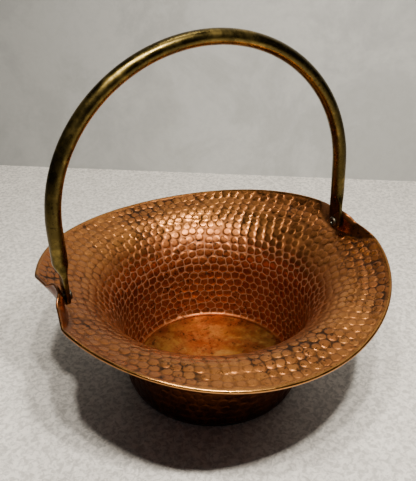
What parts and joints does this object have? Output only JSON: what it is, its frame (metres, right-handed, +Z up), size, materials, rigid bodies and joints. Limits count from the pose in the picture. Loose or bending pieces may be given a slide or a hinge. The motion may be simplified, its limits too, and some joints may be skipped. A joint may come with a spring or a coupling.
{
  "type": "hammered copper basket bowl",
  "caption": "Hammered copper bowl with a wide saddle-shaped flange folded up into two lugs, and a brass bail handle riveted to them that swings over the bowl.",
  "frame": {"origin": "centre of the flat foot, on the surface the bowl stands on", "axes": "+Z up, +X along the hinge line from the left rivet to the right rivet, +Y to the back"},
  "size_m": [0.2256, 0.2304, 0.2395],
  "materials": {
    "hammered_copper": null,
    "aged_brass": "unlacquered brass rod with olive-brown patina",
    "rivet_metal": "dull nickel-plated tubular rivet"
  },
  "bodies": {
    "bowl": {"bowl": "hammered_copper", "right_rivet": "rivet_metal", "left_rivet": "rivet_metal"},
    "bail": {"bail_handle": "aged_brass"}
  },
  "joints": [
    {"name": "bail_swing", "type": "hinge", "parent": "bowl", "child": "bail", "pos_m": [0, 0, 0.0965], "axis": [1, 0, 0], "range_deg": [-57, 66]}
  ]
}
